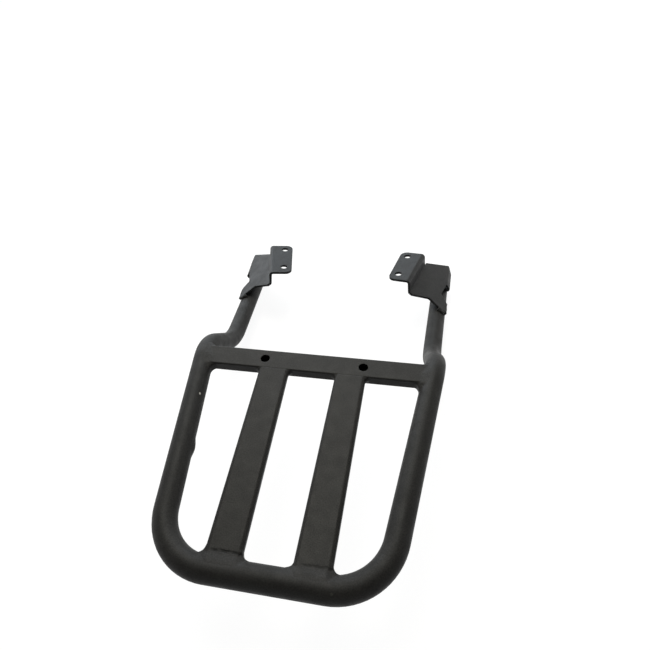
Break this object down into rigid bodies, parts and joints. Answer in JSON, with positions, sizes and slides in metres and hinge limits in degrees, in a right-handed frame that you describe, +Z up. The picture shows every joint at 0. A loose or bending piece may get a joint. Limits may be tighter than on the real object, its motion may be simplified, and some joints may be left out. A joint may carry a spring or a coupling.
{
  "type": "motorcycle luggage rack",
  "caption": "Bent-tube luggage rack with a tapered open deck, a drilled crossbar, flat slats and stepped-down arms that end in folded mounting brackets.",
  "frame": {"origin": "top face of the front crossbar, midway between its two holes", "axes": "+Y forward along the rack, from the rear tube to the bracket arms; +Z up, square to the deck; +X to the right"},
  "size_m": [0.301, 0.4783, 0.1044],
  "materials": {
    "tube_coat": "satin black powder coat",
    "bar_coat": "satin black powder coat",
    "bracket_coat": "satin black powder coat",
    "weld_coat": "satin black powder coat over weld beads"
  },
  "bodies": {
    "root": {"loop_tube": "tube_coat", "front_crossbar": "bar_coat", "left_slat": "bar_coat", "right_slat": "bar_coat", "left_bracket": "bracket_coat", "right_bracket": "bracket_coat", "left_crossbar_weld": "weld_coat", "right_crossbar_weld": "weld_coat", "left_slat_inner_weld": "weld_coat", "left_slat_outer_weld": "weld_coat", "right_slat_inner_weld": "weld_coat", "right_slat_outer_weld": "weld_coat", "left_slat_rear_weld": "weld_coat", "right_slat_rear_weld": "weld_coat", "left_tail_weld": "weld_coat", "right_tail_weld": "weld_coat", "left_edge_weld": "weld_coat", "right_edge_weld": "weld_coat", "left_lip_weld": "weld_coat", "right_lip_weld": "weld_coat"}
  },
  "joints": []
}
